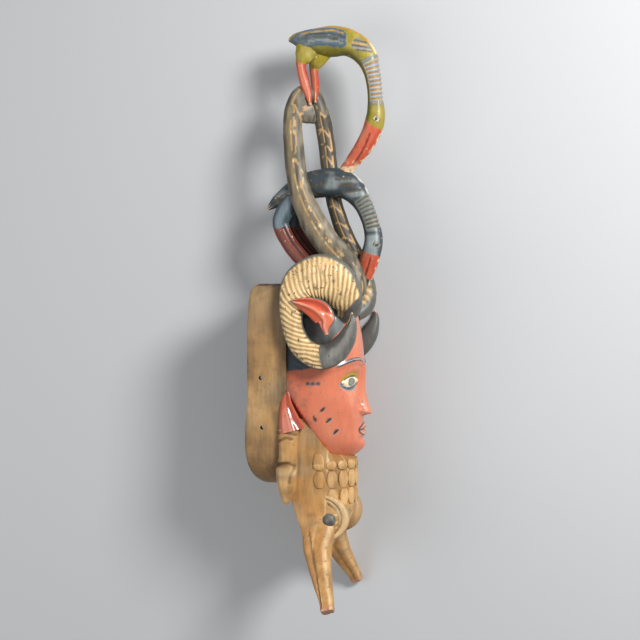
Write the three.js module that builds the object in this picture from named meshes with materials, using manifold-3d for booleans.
// A carved and painted wooden mask with a tall crest, lying on its left side.
// The carving is described upright: x is its front, y its top and z its own right side, in millimetres.
import * as THREE from 'three';
import { mergeVertices } from 'three/addons/utils/BufferGeometryUtils.js';
import Module from 'manifold-3d';

const wasm = await Module();
wasm.setup();

// Shell: the hollow wall that stands round the wearer's head
const SHELL_HALF_WIDTH = 62;
const SHELL_TOP = 47;
const SHELL_BOTTOM = -211;
const SHELL_TOP_CORNER = 24;
const SHELL_BOTTOM_CORNER = 46;
const SHELL_WALL = 9;
const SHELL_FRONT = -30;
const RIM_BACK = -81;
const BEHIND_SHELL = RIM_BACK - 20;
const RIM_FLAT_TOP = -5;
const RIM_FLAT_BOTTOM = -105;
const RIM_LEAN = 3;
const RIM_FOOT = [-136, -158];
const RIM_FOOT_RISE = 23;
const TIE_HOLE_RADIUS = 2.6;
const TIE_HOLES = [[-63, -72], [-61, -135]];

// Hollow behind the face
const HOLLOW_FRONT = SHELL_FRONT - SHELL_WALL;
const FACE_HOLLOW_CENTRE = [-26, -78, 0];
const FACE_HOLLOW_RADII = [52, 92, 40];

// Head, hairline to chin in equal thirds: hairline to brow, brow to nose base, nose base to chin
const HAIRLINE = 0;
const FACE_LENGTH = 180;
const FACE_HALF_WIDTH = 56;
const FACE_BACK = -46;
const FACE_FRONT = 57;
const CROWN_TOP = 58;
const CROWN_HALF_WIDTH = 24;
const CROWN_BACK = -8;
const BROW = HAIRLINE - FACE_LENGTH / 3;
const NOSE_BASE = HAIRLINE - FACE_LENGTH * 2 / 3;
const CHIN = HAIRLINE - FACE_LENGTH;
const EYE_LINE = BROW - 18;
const MOUTH = NOSE_BASE - FACE_LENGTH / 9;
const EYE_WIDTH = 2 * FACE_HALF_WIDTH / 5;
const EYE_OFFSET = EYE_WIDTH;
const NOSE_HEIGHT = 13;
const JAW_RECESS = 7;
const JAW_BACK = [-30, -88];
const JAW_FRONT = [4, -145];
const FACE_TAPER = 2.7;
const EYE_RADII = [9, 6.5, EYE_WIDTH / 2];
const EYE_SETBACK = 16;

// Crest
const LOOP_THICKNESS = 11;
const NECK_GROOVE_DEPTH = 0.12;
const HORN_RIBS = 18;
const HORN_RIBBED = [1, 10];
const HORN_RIB_DEPTH = 0.075;
const HORN_SQUARE = 0.8;
const LOOP_TURN = [9, 15];
const LOOP_FILL = [-17, 273, 0];
const LOOP_FILL_RADII = [15, 19, 10];

// Crocodile
const SCALE_HEIGHT = 2.5;
const SCALE_LENGTH = 22;
const SCALE_WIDTH = 14;
const SCALE_ROWS = [-178, -201, -221];
const SCALE_COLUMNS = [0, 15, 30, 45, 60];
const PUPIL = [21, -253, 40];
const PUPIL_RADII = [8, 8, 7];
const EYE_FIELD = [20, -252, 36];
const EYE_FIELD_RADII = [17, 23, 8];
const SNOUT_SQUARE = 0.6;
const FORELEG_SQUARE = 0.75;
const ARM_RIDGE = 1.3;
const NECK_TOP = -124;
const NECK_UNDER_CHIN = -178;

// Depth of the worn flats under the lying mask
const REST_WEAR = 0.8;
const FLOOR_SPAN = 2000;
const FLOOR_DEPTH = 100;

const SIDEWAYS = new THREE.Vector3(0, 0, 1);
const SIDES = 8;

// Joins and cuts

function toSolid(geometry) {
  const bare = geometry.index ? geometry.clone() : geometry;
  bare.deleteAttribute('normal');
  bare.deleteAttribute('uv');
  const merged = mergeVertices(bare, 1e-4);
  const vertProperties = new Float32Array(merged.attributes.position.array);
  const triVerts = new Uint32Array(merged.index.array);
  if (signedVolume(vertProperties, triVerts) < 0) {
    for (let i = 0; i < triVerts.length; i += 3) {
      const kept = triVerts[i];
      triVerts[i] = triVerts[i + 1];
      triVerts[i + 1] = kept;
    }
  }
  return new wasm.Manifold(new wasm.Mesh({ numProp: 3, vertProperties, triVerts }));
}

function signedVolume(points, triangles) {
  const corner = [new THREE.Vector3(), new THREE.Vector3(), new THREE.Vector3()];
  let sum = 0;
  for (let i = 0; i < triangles.length; i += 3) {
    corner.forEach((v, k) => v.fromArray(points, 3 * triangles[i + k]));
    sum += corner[0].dot(corner[1].clone().cross(corner[2])) / 6;
  }
  return sum;
}

function toGeometry(solid) {
  const mesh = solid.getMesh();
  const geometry = new THREE.BufferGeometry();
  geometry.setAttribute('position', new THREE.BufferAttribute(new Float32Array(mesh.vertProperties), 3));
  geometry.setIndex(new THREE.BufferAttribute(new Uint32Array(mesh.triVerts), 1));
  geometry.computeVertexNormals();
  return geometry;
}

function joined(solids) {
  return solids.reduce((whole, solid) => whole.add(solid));
}

// The same piece on the mask's other side
function mirrored(stations) {
  return stations.map(([f, u, r, ...rest]) => [f, u, -r, ...rest]);
}

// A closed body through rings of points, with a fan at each end
function closedBody(rings) {
  const count = rings[0].length;
  const points = rings.flat();
  const triangles = [];
  for (let i = 0; i < rings.length - 1; i++) {
    for (let k = 0; k < count; k++) {
      const a = i * count + k;
      const b = i * count + (k + 1) % count;
      triangles.push(a, b, a + count, b, b + count, a + count);
    }
  }
  for (const [ring, flip] of [[0, false], [rings.length - 1, true]]) {
    const middle = new THREE.Vector3();
    rings[ring].forEach((p) => middle.add(p));
    points.push(middle.divideScalar(count));
    for (let k = 0; k < count; k++) {
      const a = ring * count + k;
      const b = ring * count + (k + 1) % count;
      triangles.push(...(flip ? [a, b, points.length - 1] : [b, a, points.length - 1]));
    }
  }
  const geometry = new THREE.BufferGeometry().setFromPoints(points);
  geometry.setIndex(triangles);
  return toSolid(geometry);
}

// A limb along a curve: each station is front, top, side, half width in the profile, half thickness sideways
// square is 1 for an oval section and less for one with flatter sides
function limb(stations, { sides = SIDES, steps = () => 2, ripple = () => 1, square = 1 } = {}) {
  const path = new THREE.CatmullRomCurve3(stations.map(([f, u, r]) => new THREE.Vector3(f, u, r)), false,
    'catmullrom', 0.5);
  const girth = new THREE.CatmullRomCurve3(stations.map(([, , , a, b]) => new THREE.Vector3(a, b, 0)), false,
    'catmullrom', 0.5);
  const spans = stations.length - 1;
  const places = [0];
  for (let i = 0; i < spans; i++) {
    for (let k = 1; k <= steps(i); k++) places.push((i + k / steps(i)) / spans);
  }
  const rings = [];
  for (const t of places) {
    const centre = path.getPoint(t);
    const along = path.getTangent(t);
    const across = new THREE.Vector3().crossVectors(along, SIDEWAYS).normalize();
    const out = new THREE.Vector3().crossVectors(across, along).normalize();
    const size = girth.getPoint(t).multiplyScalar(ripple(t));
    const ring = [];
    for (let k = 0; k < sides; k++) {
      const turn = 2 * Math.PI * k / sides;
      ring.push(centre.clone()
        .addScaledVector(across, Math.max(size.x, 0.4) * flattened(Math.cos(turn), square))
        .addScaledVector(out, Math.max(size.y, 0.4) * flattened(Math.sin(turn), square)));
    }
    rings.push(ring);
  }
  return closedBody(rings);
}

function flattened(value, square) {
  return Math.abs(value) < 1e-9 ? 0 : Math.sign(value) * Math.abs(value) ** square;
}

// Grooves across a limb between two places along it
function grooves(from, to, number, depth) {
  return (t) => {
    if (t < from || t > to) return 1;
    const wave = Math.cos(2 * Math.PI * number * (t - from) / (to - from));
    return 1 - depth * (1 - wave) / 2;
  };
}

function ellipsoid([f, u, r], [a, b, c], across = 8, down = 5) {
  const geometry = new THREE.SphereGeometry(1, across, down);
  geometry.scale(a, b, c);
  geometry.translate(f, u, r);
  return toSolid(geometry);
}

function smooth(value, low, high) {
  return THREE.MathUtils.smoothstep(value, low, high);
}

function bump(distance) {
  return Math.max(0, 1 - distance * distance) ** 1.5;
}

// Shell

// The shell's oblong outline, made smaller all round by inset
function roundedUpright(inset, front, back) {
  const halfWidth = SHELL_HALF_WIDTH - inset;
  const high = SHELL_TOP_CORNER - inset;
  const low = SHELL_BOTTOM_CORNER - inset;
  const top = SHELL_TOP - inset - high;
  const bottom = SHELL_BOTTOM + inset + low;
  const shape = new THREE.Shape();
  shape.absarc(high - halfWidth, top, high, Math.PI / 2, Math.PI);
  shape.absarc(low - halfWidth, bottom, low, Math.PI, 3 * Math.PI / 2);
  shape.absarc(halfWidth - low, bottom, low, 3 * Math.PI / 2, 2 * Math.PI);
  shape.absarc(halfWidth - high, top, high, 0, Math.PI / 2);
  const depth = front - back;
  const geometry = new THREE.ExtrudeGeometry(shape, { depth, bevelEnabled: false, curveSegments: 6 });
  geometry.rotateY(Math.PI / 2);
  geometry.translate(back, 0, 0);
  return toSolid(geometry);
}

function shellProfile() {
  const above = SHELL_TOP + 1;
  const below = SHELL_BOTTOM - 1;
  const shape = new THREE.Shape();
  shape.moveTo(SHELL_FRONT, above);
  shape.lineTo(RIM_BACK + 4 * RIM_LEAN, above);
  shape.quadraticCurveTo(RIM_BACK + RIM_LEAN, above, RIM_BACK + RIM_LEAN, above - 5 * RIM_LEAN);
  shape.lineTo(RIM_BACK, RIM_FLAT_TOP);
  shape.lineTo(RIM_BACK, RIM_FLAT_BOTTOM);
  shape.lineTo(RIM_BACK - RIM_LEAN, RIM_FOOT[0]);
  shape.lineTo(RIM_BACK - RIM_LEAN, RIM_FOOT[1]);
  shape.quadraticCurveTo(RIM_BACK, below, RIM_BACK + RIM_FOOT_RISE, below);
  shape.lineTo(SHELL_FRONT, below);
  const depth = 2 * SHELL_HALF_WIDTH + 2;
  const geometry = new THREE.ExtrudeGeometry(shape, { depth, bevelEnabled: false, curveSegments: 4 });
  geometry.translate(0, 0, -depth / 2);
  return toSolid(geometry);
}

function shell() {
  return roundedUpright(0, SHELL_FRONT, BEHIND_SHELL).intersect(shellProfile());
}

function hollow() {
  const inside = roundedUpright(SHELL_WALL, HOLLOW_FRONT, BEHIND_SHELL);
  return inside.add(ellipsoid(FACE_HOLLOW_CENTRE, FACE_HOLLOW_RADII, 14, 8));
}

function tieHoles() {
  return joined(TIE_HOLES.map(([f, u]) => {
    const geometry = new THREE.CylinderGeometry(TIE_HOLE_RADIUS, TIE_HOLE_RADIUS, 2 * SHELL_HALF_WIDTH + 4, 10);
    geometry.rotateX(Math.PI / 2);
    geometry.translate(f, u, 0);
    return toSolid(geometry);
  }));
}

// Head and face

function headHalfWidth(u) {
  if (u > HAIRLINE) {
    return THREE.MathUtils.lerp(FACE_HALF_WIDTH, CROWN_HALF_WIDTH, smooth(u, HAIRLINE, CROWN_TOP));
  }
  const down = Math.max(0, (BROW - u) / (BROW - CHIN + 4));
  return FACE_HALF_WIDTH * Math.sqrt(Math.max(0.02, 1 - down ** FACE_TAPER));
}

function headFront(u) {
  const forehead = FACE_FRONT - 14 * smooth(u, BROW + 10, CROWN_TOP);
  const cheek = 5 * bump((u - EYE_LINE + 12) / 34);
  const chinFall = 22 * smooth(-u, -CHIN - 26, -CHIN + 8);
  return forehead - cheek - chinFall;
}

// How far the nose, brows, sockets, lips and chin stand out at a place on the face
function relief(u, r) {
  const side = Math.abs(r);
  const alongNose = THREE.MathUtils.clamp((BROW - u) / (BROW - NOSE_BASE), 0, 1);
  const noseWidth = 6 + 8 * alongNose ** 2;
  const noseEnd = smooth(u, NOSE_BASE - 4, NOSE_BASE + 1) * (1 - smooth(u, BROW - 2, BROW + 8));
  const nose = (5 + (NOSE_HEIGHT - 5) * alongNose) * bump(side / noseWidth) * noseEnd;
  const browArc = BROW + 9 * (1 - ((side - EYE_OFFSET) / EYE_WIDTH) ** 2);
  const brow = side > 4 ? 3 * bump((u - browArc) / 7) : 0;
  const socket = -6 * bump(Math.hypot((side - EYE_OFFSET) / (0.85 * EYE_WIDTH), (u - EYE_LINE) / 17));
  const lips = 4.5 * bump(side / 17) * (bump((u - MOUTH - 4) / 5) + bump((u - MOUTH + 5) / 6));
  const chin = 6 * bump(Math.hypot(side / 18, (u - CHIN - 14) / 15));
  return nose + brow + socket + lips + chin;
}

// The jaw's back edge runs down and forward, and the head is cut back behind it
function behindJaw(f, u) {
  const edge = THREE.MathUtils.mapLinear(u, JAW_BACK[1], JAW_FRONT[1], JAW_BACK[0], JAW_FRONT[0]);
  return smooth(edge - f, 0, 5) * smooth(-u, 86, 100);
}

function head() {
  const levels = [CROWN_TOP, 40, 18, -5, -28, -43, -51, -58, -64, -71, -78, -85, -94, -104, -113,
    -117, NOSE_BASE, -126, -131, -135, -139, -144, -150, -158, -167, -175, CHIN - 1, CHIN - 4];
  const turns = 22;
  const rings = levels.map((u) => {
    const width = headHalfWidth(u);
    const front = headFront(u);
    const back = THREE.MathUtils.lerp(FACE_BACK, CROWN_BACK, smooth(u, HAIRLINE, CROWN_TOP));
    const ring = [new THREE.Vector3(back, u, width), new THREE.Vector3(back, u, -width)];
    for (let k = 0; k <= turns; k++) {
      const turn = Math.PI * (1 - k / turns);
      const r = width * Math.sign(Math.cos(turn)) * Math.abs(Math.cos(turn)) ** 0.85;
      const f = back + 8 + (front - back - 8) * Math.sin(turn) ** 0.8;
      const inset = JAW_RECESS * behindJaw(f, u);
      const facing = smooth(Math.sin(turn), 0.2, 0.7);
      ring.push(new THREE.Vector3(f + relief(u, r) * facing, u, r - Math.sign(r) * inset));
    }
    return ring;
  });
  return closedBody(rings);
}

function eyes() {
  return [1, -1].map((side) => {
    return ellipsoid([headFront(EYE_LINE) - EYE_SETBACK, EYE_LINE, side * EYE_OFFSET], EYE_RADII);
  });
}

// Ram's horns, from the forehead over the back and round to a free tip

const HORN = [
  [38, 6, 28, 11, 9], [46, 19, 42, 17.5, 12], [42, 33, 51, 23.5, 14], [31, 48, 56, 28, 15], [13, 55, 60, 29, 15],
  [-10, 45, 63, 24, 14], [-19, 23, 68, 17, 14], [-19, -4, 70, 13, 13], [-10, -27, 70, 13.5, 12.5],
  [5, -40, 71, 14.5, 12], [22, -43.5, 73, 15.5, 11], [38, -36, 74, 14.5, 10], [49.5, -23, 75, 12, 8.5],
  [56, -9, 76, 8.5, 6.5], [59, 2, 77, 4.5, 4], [58, 12, 77, 1, 1],
];

function horn(stations) {
  const spans = HORN.length - 1;
  return limb(stations, { square: HORN_SQUARE,
    steps: (i) => (i >= HORN_RIBBED[0] && i < HORN_RIBBED[1] ? 4 : 2),
    ripple: grooves(HORN_RIBBED[0] / spans, HORN_RIBBED[1] / spans, HORN_RIBS, HORN_RIB_DEPTH) });
}

const EAR = [[-21, 26, 66, 1, 2], [-1, 20.5, 68, 9.5, 6], [15, 13, 71, 14, 7], [24, 5, 74, 14, 7],
  [25, -6, 78, 6, 5], [27, -16, 80, 1.5, 1.5]];

// Crest: a snake's looped body with two birds

// The snake runs up the near side of the blue bird, over the top and down its far side
const STRANDS = [
  [44, 24, 13, 7, 9], [56, 41, 16, 9, 12], [46, 62, 15, 15, 13], [32, 79, 14, 18, 13],
  [16, 96, 14, 17, LOOP_THICKNESS],
  [5, 111, 15, 17, LOOP_THICKNESS], [-11, 138, 15, 16, LOOP_THICKNESS], [-23, 167, 14, 14.5, LOOP_THICKNESS],
  [-29, 197, 13, 13.5, LOOP_THICKNESS], [-32, 226, 12, 13, LOOP_THICKNESS], [-34, 252, 9, 12.5, LOOP_THICKNESS],
  [-32.5, 272, 6, 13, LOOP_THICKNESS], [-25, 289, 2, 13, LOOP_THICKNESS], [-12, 291, -2, 12.5, LOOP_THICKNESS],
  [-3, 278, -5, 10.5, LOOP_THICKNESS], [2, 256, -9, 11, LOOP_THICKNESS], [6, 230, -12, 11, LOOP_THICKNESS],
  [9, 202, -13, 11, LOOP_THICKNESS],
  [12, 176, -14, 10.5, LOOP_THICKNESS], [17, 150, -14, 10.5, LOOP_THICKNESS], [25, 124, -14, 10.5, LOOP_THICKNESS],
  [36, 100, -14, 10.5, LOOP_THICKNESS], [48, 78, -14, 10, LOOP_THICKNESS], [54, 54, -14, 9, LOOP_THICKNESS],
  [46, 32, -12, 7, 9],
];

const YELLOW_BIRD = [
  [-41, 363, 0, 2.5, 5], [-31, 363.5, 0, 9, 9], [-16, 361, 0, 15, 13], [2, 359, 0, 19, 15], [19, 359, 0, 20, 15],
  [36, 357, 0, 17.5, 14], [51, 349, 0, 16, 12], [62, 336, 0, 14, 11], [68, 319.5, 0, 11, 10],
  [71.5, 301.5, 0, 10, 9.5], [73, 282, 0, 10, 9.5], [73.5, 266, 0, 11.5, 11], [71.5, 253, 0, 12.8, 11.5],
  [67, 240, 0, 12.5, 10], [58, 224, 0, 11.5, 9], [47, 209, 0, 10, 8], [33, 191, 0, 8.5, 7],
];

const BLUE_BIRD = [
  [-71, 145, -4, 2, 4], [-60, 153, -3, 8, 8], [-46, 160, -2, 13, 11], [-29, 168, 0, 17, 13], [-11, 175, 0, 18, 14],
  [8, 177.5, 0, 19, 14], [26, 177, 0, 19, 14], [41, 170, 0, 17, 13], [54, 155, 0, 13.5, 11],
  [63, 137, 0, 11.5, 10], [69, 118, 0, 11.5, 10], [70.5, 100, 0, 12, 11], [67, 84, 0, 12.5, 10.5],
  [63, 71, 0, 12, 9], [60, 54, 0, 9, 6],
];

const LEGS = [
  [[-17, 356, 5, 13, 6], [-22, 338, 7, 9.5, 6.5], [-23, 328, 8, 6.5, 6], [-18, 306, 9, 6.5, 4.5],
    [-13, 290, 10, 4.5, 3], [-10.5, 277, 10, 1.5, 2]],
  [[-7, 354, -5, 13, 6], [-10, 337, -7, 9, 6], [-10.5, 325, -8, 5.8, 5.5], [-7, 306, -3, 5.5, 4.5],
    [-5, 294, 3, 4, 4], [-4.5, 280, 7, 1.5, 2.5]],
  [[-34, 158, 8, 10, 7], [-46, 138, 9, 12, 7], [-50, 124, 9, 11, 7], [-42, 105, 9, 10.5, 7],
    [-28, 86, 10, 10.5, 7], [-6, 64, 12, 9, 7]],
  [[-26, 160, -8, 10, 7], [-36, 140, -8, 11, 7], [-38, 124, -8, 10, 7], [-29, 106, -9, 10, 7],
    [-14, 88, -10, 10, 7], [5, 68, -12, 9, 7]],
];

// A bird from tail to beak, with grooves across its neck between two stations
function bird(stations, neckFrom, neckTo) {
  const spans = stations.length - 1;
  const number = 2 * (neckTo - neckFrom);
  return limb(stations, { steps: (i) => (i >= neckFrom && i < neckTo ? 4 : 1),
    ripple: grooves(neckFrom / spans, neckTo / spans, number, NECK_GROOVE_DEPTH) });
}

function crest() {
  return joined([
    limb(STRANDS, { steps: (i) => (i >= LOOP_TURN[0] && i < LOOP_TURN[1] ? 2 : 1) }),
    ellipsoid(LOOP_FILL, LOOP_FILL_RADII),
    bird(YELLOW_BIRD, 6, 11),
    bird(BLUE_BIRD, 7, 11),
    ...LEGS.map((leg) => limb(leg, { steps: () => 1 })),
  ]);
}

// Crocodile under the chin: one head with two snouts that spread sideways

// Level slices of the neck and head: the height, then front and half width of each corner from back to front
const CROCODILE = [
  [-190, [-38, 50], [0, 44.5], [17, 40.5], [36, 27], [48, 8]],
  [-204, [-34, 49], [-2, 45], [17, 42], [37, 28], [48, 9]],
  [-222, [-31, 46], [-8, 45], [17, 43], [38, 30], [47, 10]],
  [-240, [-25, 46], [-5, 46], [17, 44], [36, 32], [45, 11]],
  [-258, [-18, 48], [-2, 48], [17, 45], [32, 33], [39, 12]],
  [-274, [-11, 50], [0, 50], [16, 47], [25, 36], [30, 12]],
  [-288, [-4, 40], [2, 42], [12, 40], [18, 30], [20, 10]],
  [-298, [0, 20], [3, 22], [8, 20], [12, 14], [14, 6]],
];
const SNOUT = [[9, -262, 30, 21, 16], [7, -284, 43, 19, 14], [12, -305, 56, 15, 12], [20, -328, 71, 11.5, 9.5],
  [27, -345, 83, 9, 8], [31, -358, 92, 7.5, 6.5]];
const BROW_RIDGE = [[14, -226, 36, 4, 6], [24, -229, 37, 5, 7], [33, -239, 34, 6, 8], [36, -252, 31, 6, 8],
  [31, -266, 32, 6, 8], [18, -278, 38, 4, 6]];
const UPPER_ARM = [[-30, -86, 54, 1.5, 5], [-30.5, -104, 57, 7, 9], [-27.5, -121, 58, 12, 12],
  [-22.5, -139, 59, 17, 14]];
const FORELEG = [[-27, -137, 59, 13, 11.5], [-27, -150, 60, 12, 12], [-27, -165, 60.5, 11.5, 12],
  [-27.5, -176, 61, 12, 12], [-29, -186, 61, 13.3, 13], [-29, -200, 61, 12.5, 12], [-28.5, -214, 61, 10.8, 10],
  [-29.5, -226, 61, 5.5, 6], [-31, -232, 61, 1.5, 2]];

// The neck's top is cut along the jaw and is level under the chin
function neckTop(f) {
  const jaw = THREE.MathUtils.mapLinear(f, JAW_BACK[0], JAW_FRONT[0], JAW_BACK[1], JAW_FRONT[1]);
  return THREE.MathUtils.clamp(jaw, NECK_UNDER_CHIN, NECK_TOP);
}

function neckAndHead() {
  const ring = (corners, height) => [
    ...corners.map(([f, r]) => new THREE.Vector3(f, height(f), r)),
    ...corners.toReversed().map(([f, r]) => new THREE.Vector3(f, height(f), -r)),
  ];
  const slices = CROCODILE.map(([u, ...corners]) => ring(corners, () => u));
  const [, ...first] = CROCODILE[0];
  return closedBody([ring(first, neckTop), ...slices]);
}

// The place on a slice at a distance round it from the middle of its front, and the way it faces
function roundSlice([, ...corners], distance) {
  const outline = [...corners, [corners.at(-1)[0], 0]].reverse();
  let left = distance;
  for (let i = 1; i < outline.length; i++) {
    const [f0, r0] = outline[i - 1];
    const [f1, r1] = outline[i];
    const length = Math.hypot(f1 - f0, r1 - r0);
    if (left <= length) {
      const share = left / length;
      return { f: f0 + share * (f1 - f0), r: r0 + share * (r1 - r0), turn: Math.atan2(f0 - f1, r1 - r0) };
    }
    left -= length;
  }
  throw new Error('The scale lies off the neck');
}

// Raised scales in columns down the neck, each lying on the neck's own side
function scales() {
  const columns = SCALE_COLUMNS.flatMap((distance) => (distance ? [[distance, 1], [distance, -1]] : [[0, 1]]));
  return columns.flatMap(([distance, side]) => SCALE_ROWS.map((u) => {
    const { f, r, turn } = roundSlice(CROCODILE[1], distance);
    const geometry = new THREE.SphereGeometry(1, 6, 3);
    geometry.scale(SCALE_HEIGHT, SCALE_LENGTH / 2, SCALE_WIDTH / 2);
    geometry.rotateY(-side * turn);
    geometry.translate(f, u, side * r);
    return toSolid(geometry);
  }));
}

function crocodile() {
  const pairs = [[SNOUT, SNOUT_SQUARE], [BROW_RIDGE, SNOUT_SQUARE], [UPPER_ARM, ARM_RIDGE],
    [FORELEG, FORELEG_SQUARE]];
  const limbs = pairs.flatMap(([stations, square]) => [stations, mirrored(stations)]
    .map((side) => limb(side, { square, steps: () => 1 })));
  const eyeForms = [1, -1].flatMap((side) => [[EYE_FIELD, EYE_FIELD_RADII], [PUPIL, PUPIL_RADII]]
    .map(([[f, u, r], radii]) => ellipsoid([f, u, side * r], radii, 10, 5)));
  return joined([neckAndHead(), ...limbs, ...eyeForms, ...scales()]);
}

function mask() {
  const outside = joined([shell(), head(), ...eyes(), horn(HORN), horn(mirrored(HORN)),
    limb(EAR), limb(mirrored(EAR)), crest(), crocodile()]);
  return outside.subtract(hollow()).subtract(tieHoles());
}

// Lying pose: the turn at which the balance point is lowest over the floor, with worn flats where it rests

function balancePoint(geometry) {
  const points = geometry.attributes.position.array;
  const triangles = geometry.index.array;
  const corner = [new THREE.Vector3(), new THREE.Vector3(), new THREE.Vector3()];
  const sum = new THREE.Vector3();
  let volume = 0;
  for (let i = 0; i < triangles.length; i += 3) {
    corner.forEach((v, k) => v.fromArray(points, 3 * triangles[i + k]));
    const part = corner[0].dot(corner[1].clone().cross(corner[2])) / 6;
    volume += part;
    corner.forEach((v) => sum.addScaledVector(v, part / 4));
  }
  return sum.divideScalar(volume);
}

function heightOver(geometry, centre, turn) {
  const points = geometry.attributes.position.array;
  const up = new THREE.Vector3(0, 0, 1).applyQuaternion(turn.clone().invert());
  let low = Infinity;
  const v = new THREE.Vector3();
  for (let i = 0; i < points.length; i += 3) {
    low = Math.min(low, v.fromArray(points, i).dot(up));
  }
  return centre.dot(up) - low;
}

function lyingTurn(geometry) {
  const centre = balancePoint(geometry);
  const turnOf = (a, b) => new THREE.Quaternion().setFromEuler(new THREE.Euler(a, b, 0));
  let best = [0, 0];
  let height = heightOver(geometry, centre, turnOf(...best));
  for (let step = 0.1; step > 1e-5; step *= 0.7) {
    for (let k = 0; k < 24; k++) {
      const angle = 2 * Math.PI * k / 24;
      const tried = [best[0] + step * Math.cos(angle), best[1] + step * Math.sin(angle)];
      const found = heightOver(geometry, centre, turnOf(...tried));
      if (found < height) {
        height = found;
        best = tried;
      }
    }
  }
  return turnOf(...best);
}

// Cuts a thin layer off the places that touch the floor
function worn(solid, turn) {
  const whole = toGeometry(solid);
  const up = new THREE.Vector3(0, 0, 1).applyQuaternion(turn.clone().invert());
  const floor = balancePoint(whole).dot(up) - heightOver(whole, balancePoint(whole), turn);
  const layer = new THREE.BoxGeometry(FLOOR_SPAN, FLOOR_SPAN, FLOOR_DEPTH);
  layer.translate(0, 0, floor + REST_WEAR - FLOOR_DEPTH / 2);
  layer.applyQuaternion(turn.clone().invert());
  return toGeometry(solid.subtract(toSolid(layer)));
}

const paintedWood = new THREE.MeshStandardMaterial({ name: 'painted wood', color: 0xb9834f, roughness: 0.55,
  metalness: 0 });
const carving = mask();
const turn = lyingTurn(toGeometry(carving));
const maskMesh = new THREE.Mesh(worn(carving, turn), paintedWood);
maskMesh.name = 'mask';
maskMesh.quaternion.copy(turn);

const object = new THREE.Group();
object.name = 'african_mask';
object.add(maskMesh);
object.updateMatrixWorld(true);
const bounds = new THREE.Box3().setFromObject(maskMesh, true);
const middle = bounds.getCenter(new THREE.Vector3());
maskMesh.position.set(-middle.x, -middle.y, -bounds.min.z);

export default object;
